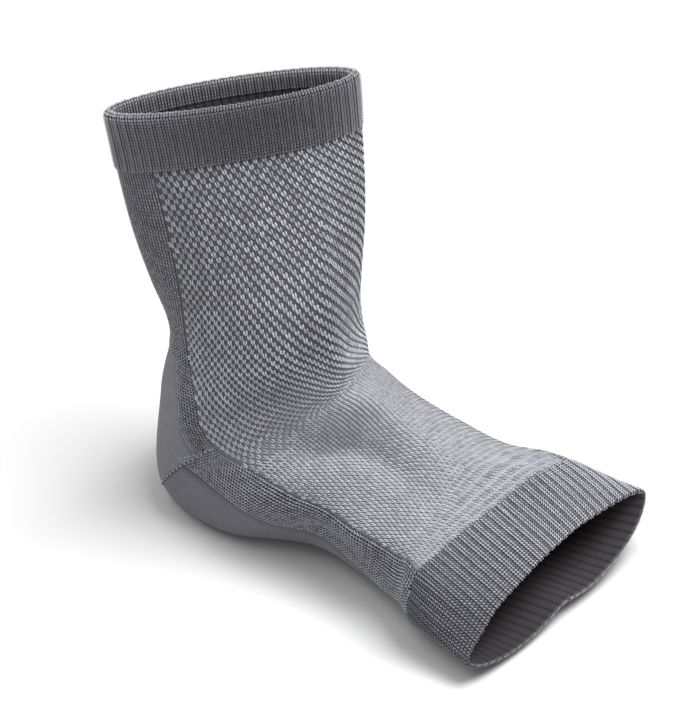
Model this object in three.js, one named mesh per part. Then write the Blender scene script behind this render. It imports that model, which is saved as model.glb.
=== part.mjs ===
// Knitted open-toe heel sleeve, standing empty on its own sole.
// One tube is lofted through the sections below, from the rim of the ankle cuff, round the heel
// and along the foot to the rim of the toe cuff. It is divided into its differently knitted zones.
// Millimetres, +Z up, toe towards -Y, the wearer's right towards -X.
import * as THREE from 'three';

// Driving sizes
const GAP = 0.3;
const CUFF_WALL = 2.2;
const MESH_WALL = 1.6;
const PLAIN_WALL = 1.5;
const HEEL_WALL = 2.0;
const ANKLE_CUFF_PROUD = 0.5;
const TOE_CUFF_PROUD = 0.2;
const RIBS_AROUND = 60;
const RIB_DEPTH = 0.7;
const RIM_ROUNDING = 0.04;
const MIDDLE_AHEAD = 70.954;
const MIDDLE_ACROSS = -1.029;

// Sections of the tube. Ahead is the distance towards the toe from behind the heel, and z is the height.
// Front is the shin and instep line, back is the calf, heel and sole line. Belly is where the section is
// widest, as a share of the way from front to back. Square is the power of the rounded outline on
// either side of the belly. Sway shifts a section to the wearer's left, turn twists it in its own plane,
// skew slants it across the foot, and edge is the angle from the front where the mesh panel ends.
const SECTION_COLUMNS = [
  'frontAhead', 'frontZ', 'backAhead', 'backZ', 'belly', 'halfWidth',
  'frontSquare', 'backSquare', 'sway', 'turn', 'skew', 'edge',
];
const SECTIONS = {
  cuffRim: [58, 164.5, -23.5, 148.5, 0.50, 10.5, 2.0, 2.0, 7, 34, 0.00, 140],
  cuffBase: [60, 147, -19.5, 129, 0.48, 10.5, 2.2, 1.9, 6, 34, 0.00, 137],
  calf: [63.5, 123, -13.5, 106, 0.40, 16.0, 2.2, 1.7, 3, 27, 0.00, 138],
  shin: [65.5, 99, -7, 84, 0.34, 23.0, 2.2, 1.6, 0, 17, 0.00, 138],
  ankle: [66, 80, -1, 64, 0.36, 28.0, 2.1, 1.8, 0, 10, 0.00, 134],
  heelTop: [69, 72.5, -4.2, 39, 0.54, 30.0, 2.1, 2.1, 0, 4, 0.00, 100],
  heelTurn: [72, 68.5, 0.8, 5, 0.74, 33.5, 1.9, 2.6, 0, 0, 0.00, 68],
  heelBase: [78, 66, 32, -1, 0.84, 34.5, 1.8, 3.2, 0, 0, 0.00, 62],
  arch: [86, 61, 66, 1, 0.62, 29.5, 1.7, 3.0, 0, 0, 0.00, 71.5],
  midfoot: [99, 54, 90, 0, 0.62, 33.0, 1.7, 2.6, 0, 0, 0.03, 68],
  forefoot: [114, 46, 110, -1, 0.55, 36.5, 2.0, 2.6, -2, -1, 0.08, 63],
  toeBase: [127.5, 37, 125, 0, 0.45, 40.5, 3.3, 2.6, -2.5, -3, 0.22, 49],
  toeRim: [146, 25, 155, 2, 0.40, 47.0, 1.6, 1.8, -1, -7.5, 0.21, 50],
};
const STATION = Object.fromEntries(Object.keys(SECTIONS).map((name, index) => [name, index]));

// Folds and dents in the limp knit: the stations and angles that each one runs between, how many
// degrees it spreads to either side, and its height in millimetres.
const FOLD_COLUMNS = ['from', 'to', 'angleFrom', 'angleTo', 'spread', 'height'];
const FOLDS = {
  shinRidge: [0.4, 3.8, -64, -54, 9, 2.6],
  ankleRidge: [2.0, 5.4, -60, -8, 11, 2.4],
  instepRidge: [3.6, 8.4, -28, -14, 10, 3.0],
  footRidge: [6.2, 10.6, -20, -8, 10, 2.2],
  vampRidge: [8.6, 12.4, -16, 32, 9, 1.8],
  instepCrease: [4.8, 10.2, -54, -28, 9, -3.4],
  heelEdge: [5.2, 9.6, -60, -72, 15, 5.5],
  footEdge: [6.8, 13.6, -90, -22, 11, 3.0],
  shinHollow: [2.4, 6.2, 20, 30, 20, -1.5],
  toeDent: [10.8, 13.2, 190, 190, 24, -4.0],
  toeSwell: [10.8, 13.2, 135, 135, 24, 2.2],
};

// Where the zones meet, as stations along the tube
const HEEL_START = 4.25;
const HEEL_TURN_AT_EDGE = 5.7;
const HEEL_TURN_AT_BACK = 6.2;

// Facets in each zone
const LEG_ROWS = 11;
const HEEL_ROWS = 6;
const FOOT_ROWS = 17;
const MESH_COLUMNS = 28;
const BACK_COLUMNS = 18;
const CUFF_ROWS = 3;
const OUTLINE_STEPS = 720;

const rowsOf = (table) => Object.values(table);
const sectionRows = rowsOf(SECTIONS);
const lastStation = sectionRows.length - 1;
const radians = THREE.MathUtils.degToRad;
const degrees = THREE.MathUtils.radToDeg;
const mix = THREE.MathUtils.lerp;

// The section at any station, with every column eased smoothly between its neighbours
function sectionAt(station) {
  const index = Math.min(Math.max(Math.floor(station), 0), lastStation - 1);
  const t = station - index;
  const here = sectionRows[index];
  const next = sectionRows[index + 1];
  return Object.fromEntries(SECTION_COLUMNS.map((column, k) => {
    const before = index > 0 ? sectionRows[index - 1][k] : 2 * here[k] - next[k];
    const after = index < lastStation - 1 ? sectionRows[index + 2][k] : 2 * next[k] - here[k];
    const slope = next[k] - before;
    const bend = 2 * before - 5 * here[k] + 4 * next[k] - after;
    const twist = 3 * here[k] - before - 3 * next[k] + after;
    return [column, 0.5 * (2 * here[k] + slope * t + bend * t * t + twist * t * t * t)];
  }));
}

const power = (value, exponent) => Math.sign(value) * Math.abs(value) ** exponent;

// How far the folds push the knit out at one place
function foldHeight(station, angle) {
  return rowsOf(FOLDS).reduce((sum, row) => {
    const fold = Object.fromEntries(FOLD_COLUMNS.map((column, k) => [column, row[k]]));
    const along = (station - fold.from) / (fold.to - fold.from);
    if (along <= 0 || along >= 1) return sum;
    const off = degrees(angle) - mix(fold.angleFrom, fold.angleTo, along);
    const away = THREE.MathUtils.euclideanModulo(off + 180, 360) - 180;
    return sum + fold.height * Math.sin(Math.PI * along) * Math.exp(-((away / fold.spread) ** 2));
  }, 0);
}

// A point of the tube. Angle 0 is the front and grows to the wearer's left; inset is the depth below
// the outer face. The sole is pressed flat where the sleeve stands.
function pointAt(station, angle, inset) {
  const row = sectionAt(station);
  const front = new THREE.Vector3(0, -row.frontAhead, row.frontZ);
  const back = new THREE.Vector3(0, -row.backAhead, row.backZ);
  const depth = front.distanceTo(back);
  const axis = back.clone().sub(front).normalize();
  const middle = front.clone().addScaledVector(axis, row.belly * depth);
  const cosine = Math.cos(angle);
  const isFront = cosine >= 0;
  const ease = 2 / (isFront ? row.frontSquare : row.backSquare);
  const reach = (isFront ? row.belly : 1 - row.belly) * depth - inset;
  const toMiddle = (0.5 - row.belly) * depth;
  const along = -power(cosine, ease) * reach - toMiddle;
  const across = power(Math.sin(angle), ease) * (row.halfWidth - inset);
  const turn = radians(row.turn);
  const turnedAlong = along * Math.cos(turn) + across * Math.sin(turn) + toMiddle;
  const turnedAcross = across * Math.cos(turn) - along * Math.sin(turn) + row.sway;
  const point = middle.clone().addScaledVector(axis, turnedAlong);
  point.x = turnedAcross;
  point.y -= row.skew * turnedAcross;
  const outward = point.clone().sub(middle.setX(row.sway)).normalize();
  point.addScaledVector(outward, foldHeight(station, angle));
  point.z = Math.max(point.z, inset, 0);
  return point;
}

// Angles that divide a section's outline into equal lengths
function evenAngles(station, count) {
  const angles = Array.from({ length: OUTLINE_STEPS + 1 }, (_, k) =>
    mix(-Math.PI, Math.PI, k / OUTLINE_STEPS));
  const points = angles.map((angle) => pointAt(station, angle, 0));
  const reached = [0];
  for (let k = 1; k <= OUTLINE_STEPS; k += 1) {
    reached.push(reached[k - 1] + points[k].distanceTo(points[k - 1]));
  }
  let k = 1;
  return Array.from({ length: count }, (_, j) => {
    const wanted = (j / count) * reached[OUTLINE_STEPS];
    while (reached[k] < wanted) k += 1;
    const share = (wanted - reached[k - 1]) / (reached[k] - reached[k - 1]);
    return mix(angles[k - 1], angles[k], share);
  });
}

// Draws the edges of a grid of points in by half the gap, so that neighbouring zones stay apart
function drawIn(grid, wraps, freeStart, freeEnd) {
  const nudge = (point, inner) => point.addScaledVector(inner.clone().sub(point).normalize(), GAP / 2);
  const last = grid.length - 1;
  grid[0].forEach((point, j) => freeStart || nudge(point, grid[1][j]));
  grid[last].forEach((point, j) => freeEnd || nudge(point, grid[last - 1][j]));
  if (wraps) return;
  grid.forEach((row) => {
    nudge(row[0], row[1]);
    nudge(row[row.length - 1], row[row.length - 2]);
  });
}

// One knitted zone as a closed solid: an outer and an inner skin joined along their edges.
// place gives the station and angle of each grid point, and outset how far the face stands out there.
function knitZone({ name, colour, wall, rows, columns, place, outset = () => 0, wraps, freeStart, freeEnd }) {
  const skin = (depthAt) => Array.from({ length: rows + 1 }, (_, i) =>
    Array.from({ length: columns + (wraps ? 0 : 1) }, (__, j) => {
      const { station, angle } = place(i, j);
      return pointAt(station, angle, depthAt(j));
    }));
  const outer = skin((j) => -outset(j));
  const inner = skin(() => wall);
  [outer, inner].forEach((grid) => drawIn(grid, wraps, freeStart, freeEnd));

  const positions = [];
  const indices = [];
  const add = (point) => positions.push(point.x, point.y, point.z) / 3 - 1;
  const outerIds = outer.map((row) => row.map(add));
  const innerIds = inner.map((row) => row.map(add));
  const quad = (a, b, c, d) => indices.push(a, b, c, a, c, d);
  const next = (j) => (wraps ? (j + 1) % columns : j + 1);

  for (let i = 0; i < rows; i += 1) {
    for (let j = 0; j < columns; j += 1) {
      quad(outerIds[i][j], outerIds[i + 1][j], outerIds[i + 1][next(j)], outerIds[i][next(j)]);
      quad(innerIds[i][next(j)], innerIds[i + 1][next(j)], innerIds[i + 1][j], innerIds[i][j]);
    }
  }
  const rim = (i, step) => outer[i].map((_, j) => {
    const { station, angle } = place(i, j);
    return add(pointAt(station + step, angle, (wall - outset(j)) / 2));
  });
  const startRim = freeStart && rim(0, -RIM_ROUNDING);
  const endRim = freeEnd && rim(rows, RIM_ROUNDING);
  for (let j = 0; j < columns; j += 1) {
    const k = next(j);
    if (startRim) {
      quad(outerIds[0][j], outerIds[0][k], startRim[k], startRim[j]);
      quad(startRim[j], startRim[k], innerIds[0][k], innerIds[0][j]);
    } else {
      quad(outerIds[0][j], outerIds[0][k], innerIds[0][k], innerIds[0][j]);
    }
    if (endRim) {
      quad(outerIds[rows][k], outerIds[rows][j], endRim[j], endRim[k]);
      quad(endRim[k], endRim[j], innerIds[rows][j], innerIds[rows][k]);
    } else {
      quad(outerIds[rows][k], outerIds[rows][j], innerIds[rows][j], innerIds[rows][k]);
    }
  }
  for (let i = 0; i < rows && !wraps; i += 1) {
    quad(outerIds[i][0], innerIds[i][0], innerIds[i + 1][0], outerIds[i + 1][0]);
    quad(outerIds[i + 1][columns], innerIds[i + 1][columns], innerIds[i][columns], outerIds[i][columns]);
  }

  const geometry = new THREE.BufferGeometry();
  geometry.setAttribute('position', new THREE.Float32BufferAttribute(positions, 3));
  geometry.setIndex(indices);
  geometry.computeVertexNormals();
  const material = new THREE.MeshStandardMaterial({ color: colour, roughness: 0.95, metalness: 0 });
  const mesh = new THREE.Mesh(geometry, material);
  mesh.name = name;
  return mesh;
}

// A ribbed cuff: a ring of the tube whose face rises and falls from one wale to the next
function ribbedCuff({ name, colour, start, end, proud, freeStart, freeEnd }) {
  const columns = RIBS_AROUND * 2;
  const stations = Array.from({ length: CUFF_ROWS + 1 }, (_, i) => mix(start, end, i / CUFF_ROWS));
  const angles = stations.map((station) => evenAngles(station, columns));
  return knitZone({
    name, colour, freeStart, freeEnd, columns, wall: CUFF_WALL - proud, rows: CUFF_ROWS, wraps: true,
    place: (i, j) => ({ station: stations[i], angle: angles[i][j] }),
    outset: (j) => proud + (j % 2 ? -RIB_DEPTH : RIB_DEPTH) / 2,
  });
}

// Stations of the mesh panel's side edge, which its plain neighbours share
const evenSteps = (from, to, count) => Array.from({ length: count }, (_, i) => mix(from, to, i / count));
const edgeStations = [
  ...evenSteps(STATION.cuffBase, HEEL_START, LEG_ROWS),
  ...evenSteps(HEEL_START, HEEL_TURN_AT_EDGE, HEEL_ROWS),
  ...evenSteps(HEEL_TURN_AT_EDGE, STATION.toeBase, FOOT_ROWS),
  STATION.toeBase,
];

// The plain knit behind and below the mesh panel, between two lines across the back of the tube
function plainZone({ name, colour, wall, rows, startAt, endAt }) {
  return knitZone({
    name, colour, wall, rows, columns: BACK_COLUMNS, wraps: false,
    place: (i, j) => {
      const u = j / BACK_COLUMNS;
      const toBack = Math.sin(Math.PI * u);
      const station = mix(startAt(toBack), endAt(toBack), i / rows);
      const edge = radians(sectionAt(station).edge);
      return { station, angle: mix(edge, 2 * Math.PI - edge, u) };
    },
  });
}

const heelTurn = (toBack) => mix(HEEL_TURN_AT_EDGE, HEEL_TURN_AT_BACK, toBack);

const sleeve = new THREE.Group();
sleeve.add(
  ribbedCuff({
    name: 'ankle_cuff', colour: 0x66676f, start: STATION.cuffRim, end: STATION.cuffBase,
    proud: ANKLE_CUFF_PROUD, freeStart: true, freeEnd: false,
  }),
  knitZone({
    name: 'mesh_panel', colour: 0x9b9ca3, wall: MESH_WALL, wraps: false,
    rows: edgeStations.length - 1, columns: MESH_COLUMNS,
    place: (i, j) => {
      const station = edgeStations[i];
      const edge = radians(sectionAt(station).edge);
      return { station, angle: mix(-edge, edge, j / MESH_COLUMNS) };
    },
  }),
  plainZone({
    name: 'back_panel', colour: 0x62636b, wall: PLAIN_WALL, rows: LEG_ROWS,
    startAt: () => STATION.cuffBase, endAt: () => HEEL_START,
  }),
  plainZone({
    name: 'heel_cup', colour: 0x6d6e76, wall: HEEL_WALL, rows: HEEL_ROWS,
    startAt: () => HEEL_START, endAt: heelTurn,
  }),
  plainZone({
    name: 'sole_panel', colour: 0x66676f, wall: PLAIN_WALL, rows: FOOT_ROWS,
    startAt: heelTurn, endAt: () => STATION.toeBase,
  }),
  ribbedCuff({
    name: 'toe_cuff', colour: 0x70717a, start: STATION.toeBase, end: STATION.toeRim,
    proud: TOE_CUFF_PROUD, freeStart: false, freeEnd: true,
  }),
);
sleeve.position.set(-MIDDLE_ACROSS, MIDDLE_AHEAD, 0);

export default sleeve;
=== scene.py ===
"""Knitted open-toe heel sleeve, standing empty on its own sole.

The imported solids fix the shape. This script dresses them as knitting: two ribbed cuffs with columns
of stitches, a bird's-eye panel of light stitches over a dark ground, and plain dark knit up the
back, round the heel and under the foot.
"""

import logging
import math
from dataclasses import dataclass, field, fields, replace
from enum import Enum
from typing import Any, Iterable, Optional, Union

import bpy
import numpy as np
from mathutils import Matrix, Vector


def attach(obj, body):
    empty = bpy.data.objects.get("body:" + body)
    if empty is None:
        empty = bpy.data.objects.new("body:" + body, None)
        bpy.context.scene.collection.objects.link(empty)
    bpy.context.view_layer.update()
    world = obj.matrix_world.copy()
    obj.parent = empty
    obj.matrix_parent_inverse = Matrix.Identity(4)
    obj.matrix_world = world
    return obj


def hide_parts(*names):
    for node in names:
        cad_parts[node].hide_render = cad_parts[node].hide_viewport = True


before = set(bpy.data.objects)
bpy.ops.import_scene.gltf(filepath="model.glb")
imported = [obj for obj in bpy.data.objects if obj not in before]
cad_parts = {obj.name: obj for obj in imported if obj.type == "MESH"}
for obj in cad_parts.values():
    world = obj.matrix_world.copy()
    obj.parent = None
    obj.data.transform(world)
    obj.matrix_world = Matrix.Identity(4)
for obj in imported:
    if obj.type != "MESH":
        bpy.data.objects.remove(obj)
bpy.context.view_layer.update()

log = logging.getLogger("heel_sleeve")

MM = 0.001
SEED = 11
BODY = "root"

Colour = tuple[float, float, float]
Triple = tuple[float, float, float]
Given = Union["Value", bpy.types.NodeSocket, float, int, bool, str, tuple, bpy.types.Material]


def unit(vectors: np.ndarray) -> np.ndarray:
    """Vectors of the same directions, each of length one."""
    return vectors / np.maximum(np.linalg.norm(vectors, axis=-1, keepdims=True), 1e-12)


def mix(low: Any, high: Any, share: Any) -> Any:
    """The value that lies a share of the way from low to high."""
    return low + (high - low) * share


def run_length(points: np.ndarray, axis: int = 0) -> np.ndarray:
    """Lengths along lines of points.

    Args:
        points: the points of one or more lines.
        axis: the axis that the lines run along.

    Returns:
        For each point the length from the start of its line.
    """
    steps = np.linalg.norm(np.diff(points, axis=axis), axis=-1)
    start = np.zeros_like(np.take(steps, [0], axis=axis))
    return np.concatenate([start, np.cumsum(steps, axis=axis)], axis=axis)


# The tube's form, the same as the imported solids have


@dataclass(frozen=True)
class Section:
    """One cross-section of the tube, in millimetres and degrees.

    Ahead is the distance towards the toe. Front is the shin and instep line, back the calf, heel
    and sole line. Belly is the share of the depth where the section is widest, square the power of
    the outline, and edge the angle from the front at which the mesh panel ends.
    """

    front_ahead: float
    front_z: float
    back_ahead: float
    back_z: float
    belly: float
    half_width: float
    front_square: float
    back_square: float
    sway: float
    turn: float
    skew: float
    edge: float


@dataclass(frozen=True)
class Fold:
    """One fold or dent of the limp knit: where it runs, how wide it spreads and its height."""

    start: float
    end: float
    angle_start: float
    angle_end: float
    spread: float
    height: float


class Station(float, Enum):
    """Places along the tube, counted in sections from the rim of the ankle cuff."""

    CUFF_RIM = 0.0
    CUFF_BASE = 1.0
    HEEL_START = 4.25
    HEEL_TURN_AT_EDGE = 5.7
    HEEL_TURN_AT_BACK = 6.2
    TOE_BASE = 11.0
    TOE_RIM = 12.0


SECTIONS = (
    Section(58, 164.5, -23.5, 148.5, 0.50, 10.5, 2.0, 2.0, 7, 34, 0.00, 140),
    Section(60, 147, -19.5, 129, 0.48, 10.5, 2.2, 1.9, 6, 34, 0.00, 137),
    Section(63.5, 123, -13.5, 106, 0.40, 16.0, 2.2, 1.7, 3, 27, 0.00, 138),
    Section(65.5, 99, -7, 84, 0.34, 23.0, 2.2, 1.6, 0, 17, 0.00, 138),
    Section(66, 80, -1, 64, 0.36, 28.0, 2.1, 1.8, 0, 10, 0.00, 134),
    Section(69, 72.5, -4.2, 39, 0.54, 30.0, 2.1, 2.1, 0, 4, 0.00, 100),
    Section(72, 68.5, 0.8, 5, 0.74, 33.5, 1.9, 2.6, 0, 0, 0.00, 68),
    Section(78, 66, 32, -1, 0.84, 34.5, 1.8, 3.2, 0, 0, 0.00, 62),
    Section(86, 61, 66, 1, 0.62, 29.5, 1.7, 3.0, 0, 0, 0.00, 71.5),
    Section(99, 54, 90, 0, 0.62, 33.0, 1.7, 2.6, 0, 0, 0.03, 68),
    Section(114, 46, 110, -1, 0.55, 36.5, 2.0, 2.6, -2, -1, 0.08, 63),
    Section(127.5, 37, 125, 0, 0.45, 40.5, 3.3, 2.6, -2.5, -3, 0.22, 49),
    Section(146, 25, 155, 2, 0.40, 47.0, 1.6, 1.8, -1, -7.5, 0.21, 50),
)
FOLDS = (
    Fold(0.4, 3.8, -64, -54, 9, 2.6),
    Fold(2.0, 5.4, -60, -8, 11, 2.4),
    Fold(3.6, 8.4, -28, -14, 10, 3.0),
    Fold(6.2, 10.6, -20, -8, 10, 2.2),
    Fold(8.6, 12.4, -16, 32, 9, 1.8),
    Fold(4.8, 10.2, -54, -28, 9, -3.4),
    Fold(5.2, 9.6, -60, -72, 15, 5.5),
    Fold(6.8, 13.6, -90, -22, 11, 3.0),
    Fold(2.4, 6.2, 20, 30, 20, -1.5),
    Fold(10.8, 13.2, 190, 190, 24, -4.0),
    Fold(10.8, 13.2, 135, 135, 24, 2.2),
)


@dataclass
class SleeveForm:
    """The outer face of the knitted tube, as a point for every station and angle."""

    sections: tuple[Section, ...] = SECTIONS
    folds: tuple[Fold, ...] = FOLDS
    middle_ahead: float = 70.954
    middle_across: float = -1.029
    samples: int = 480
    table: np.ndarray = field(init=False)

    def __post_init__(self) -> None:
        """Puts the sections into one array."""
        names = [column.name for column in fields(Section)]
        self.table = np.array([[getattr(row, name) for name in names] for row in self.sections], float)

    def section(self, station: np.ndarray) -> dict[str, np.ndarray]:
        """The section at any station, eased smoothly between its neighbours.

        Args:
            station: places along the tube.

        Returns:
            Each column of Section by name, in the shape of station.
        """
        last = len(self.table) - 1
        index = np.clip(np.floor(station).astype(int), 0, last - 1)
        t = (station - index)[..., None]
        here = self.table[index]
        after = self.table[index + 1]
        before = np.where((index > 0)[..., None], self.table[np.maximum(index - 1, 0)], 2 * here - after)
        beyond = np.where(
            (index < last - 1)[..., None], self.table[np.minimum(index + 2, last)], 2 * after - here
        )
        bend = 2 * before - 5 * here + 4 * after - beyond
        twist = 3 * here - before - 3 * after + beyond
        eased = 0.5 * (2 * here + (after - before) * t + bend * t**2 + twist * t**3)
        return {column.name: eased[..., k] for k, column in enumerate(fields(Section))}

    def fold_height(self, station: np.ndarray, angle: np.ndarray) -> np.ndarray:
        """How far the folds push the knit out.

        Args:
            station: places along the tube.
            angle: radians round it.

        Returns:
            Heights in millimetres, below zero in a dent.
        """
        height = np.zeros_like(station)
        for fold in self.folds:
            along = (station - fold.start) / (fold.end - fold.start)
            off = np.degrees(angle) - mix(fold.angle_start, fold.angle_end, along)
            away = (off + 180) % 360 - 180
            bump = fold.height * np.sin(np.pi * along) * np.exp(-((away / fold.spread) ** 2))
            height = height + np.where((along > 0) & (along < 1), bump, 0.0)
        return height

    def point(self, station: np.ndarray, angle: np.ndarray) -> np.ndarray:
        """Points of the outer face.

        Args:
            station: places along the tube.
            angle: radians round it, 0 at the front and growing to the wearer's left.

        Returns:
            Points in millimetres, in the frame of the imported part.
        """
        station, angle = np.broadcast_arrays(np.asarray(station, float), np.asarray(angle, float))
        row = self.section(station)
        zero = np.zeros_like(station)
        front = np.stack([zero, -row["front_ahead"], row["front_z"]], -1)
        back = np.stack([zero, -row["back_ahead"], row["back_z"]], -1)
        depth = np.linalg.norm(back - front, axis=-1)
        axis = (back - front) / depth[..., None]
        middle = front + axis * (row["belly"] * depth)[..., None]
        cosine = np.cos(angle)
        sine = np.sin(angle)
        ease = 2 / np.where(cosine >= 0, row["front_square"], row["back_square"])
        reach = np.where(cosine >= 0, row["belly"], 1 - row["belly"]) * depth
        to_middle = (0.5 - row["belly"]) * depth
        along = -np.sign(cosine) * np.abs(cosine) ** ease * reach - to_middle
        across = np.sign(sine) * np.abs(sine) ** ease * row["half_width"]
        turn = np.radians(row["turn"])
        turned_along = along * np.cos(turn) + across * np.sin(turn) + to_middle
        turned_across = across * np.cos(turn) - along * np.sin(turn) + row["sway"]
        place = middle + axis * turned_along[..., None]
        place[..., 0] = turned_across
        place[..., 1] -= row["skew"] * turned_across
        middle[..., 0] = row["sway"]
        outward = unit(place - middle)
        place = place + outward * self.fold_height(station, angle)[..., None]
        place[..., 2] = np.maximum(place[..., 2], 0)
        return place + np.array([-self.middle_across, self.middle_ahead, 0.0])

    def frame(self, station: np.ndarray, angle: np.ndarray) -> tuple[np.ndarray, np.ndarray, np.ndarray]:
        """Points of the outer face with their directions.

        Args:
            station: places along the tube.
            angle: radians round it.

        Returns:
            The points, the unit vectors straight out of the face, and those along the tube.
        """
        step = 0.01
        along = self.point(station + step, angle) - self.point(station - step, angle)
        around = self.point(station, angle + step) - self.point(station, angle - step)
        return self.point(station, angle), unit(np.cross(along, around)), unit(along)

    def edge(self, station: np.ndarray) -> np.ndarray:
        """The angle at which the mesh panel ends, in radians."""
        return np.radians(self.section(np.asarray(station, float))["edge"])

    def reached(self, station: np.ndarray) -> tuple[np.ndarray, np.ndarray]:
        """Lengths round the tube from its front line.

        Args:
            station: one place along the tube for each row.

        Returns:
            The sampled angles, and for each row the length from the front to each of them.
        """
        angles = np.linspace(-np.pi, np.pi, 2 * self.samples + 1)
        points = self.point(station[:, None], angles[None, :])
        lengths = run_length(points, axis=1)
        return angles, lengths - lengths[:, self.samples : self.samples + 1]

    def angles_at(self, station: np.ndarray, lengths: np.ndarray) -> np.ndarray:
        """The angle at each length round the tube from its front line, one row for each station."""
        angles, reached = self.reached(station)
        return np.stack([np.interp(wanted, row, angles) for wanted, row in zip(lengths, reached)])

    def lengths_at(self, station: np.ndarray, angle: np.ndarray) -> np.ndarray:
        """The length round the tube from its front line to each angle, one row for each station."""
        angles, reached = self.reached(station)
        return np.stack([np.interp(wanted, angles, row) for wanted, row in zip(angle, reached)])

    def even_ring(self, station: np.ndarray, shares: np.ndarray) -> np.ndarray:
        """Angles that divide each section's outline evenly, starting at the back.

        Args:
            station: one place along the tube for each row.
            shares: how far round each angle is, as a share of the girth.

        Returns:
            The angles, one row for each station.
        """
        angles, reached = self.reached(station)
        whole = reached[:, -1:] - reached[:, :1]
        return np.stack(
            [np.interp(shares * span + row[0], row, angles) for row, span in zip(reached, whole[:, 0])]
        )


# Node trees written as expressions


class Value:
    """A number that runs through a node tree, so that Python arithmetic adds Math nodes."""

    def __init__(self, kit: "NodeKit", socket: bpy.types.NodeSocket) -> None:
        """Keeps the socket and the tree that it belongs to."""
        self.kit = kit
        self.socket = socket

    def _math(self, operation: str, *terms: Given) -> "Value":
        """The result of one Math node on these terms."""
        node = self.kit.node("ShaderNodeMath", {"operation": operation}, dict(enumerate(terms)))
        return Value(self.kit, node.outputs[0])

    def __add__(self, other: Given) -> "Value":
        """self + other."""
        return self._math("ADD", self, other)

    def __radd__(self, other: Given) -> "Value":
        """other + self."""
        return self._math("ADD", other, self)

    def __sub__(self, other: Given) -> "Value":
        """self - other."""
        return self._math("SUBTRACT", self, other)

    def __rsub__(self, other: Given) -> "Value":
        """other - self."""
        return self._math("SUBTRACT", other, self)

    def __mul__(self, other: Given) -> "Value":
        """self * other."""
        return self._math("MULTIPLY", self, other)

    def __rmul__(self, other: Given) -> "Value":
        """other * self."""
        return self._math("MULTIPLY", other, self)

    def __pow__(self, other: Given) -> "Value":
        """self to the power of other."""
        return self._math("POWER", self, other)

    def __abs__(self) -> "Value":
        """The size of the number, without its sign."""
        return self._math("ABSOLUTE", self)

    def fraction(self) -> "Value":
        """What is left after the whole number."""
        return self._math("FRACT", self)

    def smooth(self, low: float, high: float) -> "Value":
        """0 up to low, 1 from high, and an eased step between."""
        node = self.kit.node(
            "ShaderNodeMapRange",
            {"interpolation_type": "SMOOTHSTEP"},
            {"Value": self, "From Min": low, "From Max": high},
        )
        return Value(self.kit, node.outputs[0])

    def from_middle(self) -> "Value":
        """0 in the middle of each whole step and 1 at its two ends."""
        return abs(self.fraction() - 0.5) * 2.0


class NodeKit:
    """Adds nodes to one tree."""

    def __init__(self, tree: bpy.types.NodeTree) -> None:
        """Keeps the tree."""
        self.tree = tree

    def node(
        self,
        kind: str,
        settings: Optional[dict[str, Any]] = None,
        sockets: Optional[dict[Any, Given]] = None,
    ) -> bpy.types.Node:
        """Adds one node.

        Args:
            kind: the node's type.
            settings: its properties, which are set first.
            sockets: a value or a link for each input that isn't left as it is, by name or number.

        Returns:
            The node.
        """
        node = self.tree.nodes.new(kind)
        for name, setting in (settings or {}).items():
            setattr(node, name, setting)
        for key, given in (sockets or {}).items():
            source = given.socket if isinstance(given, Value) else given
            if isinstance(source, bpy.types.NodeSocket):
                self.tree.links.new(source, node.inputs[key])
            else:
                node.inputs[key].default_value = source
        return node

    def value(
        self, kind: str, settings: dict[str, Any], sockets: dict[Any, Given], output: Any = 0
    ) -> Value:
        """One output of a new node, as a number for expressions."""
        return Value(self, self.node(kind, settings, sockets).outputs[output])

    def blend(self, share: Given, low: Given, high: Given) -> bpy.types.NodeSocket:
        """A colour mixed from two colours.

        Args:
            share: 0 for low and 1 for high.
            low: a colour or a link to one.
            high: a colour or a link to one.

        Returns:
            The mixed colour's socket.
        """
        whole = [(*c, 1.0) if isinstance(c, tuple) else c for c in (low, high)]
        sockets = {0: share, 6: whole[0], 7: whole[1]}
        return self.node("ShaderNodeMix", {"data_type": "RGBA"}, sockets).outputs[2]


# Finishes


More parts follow.
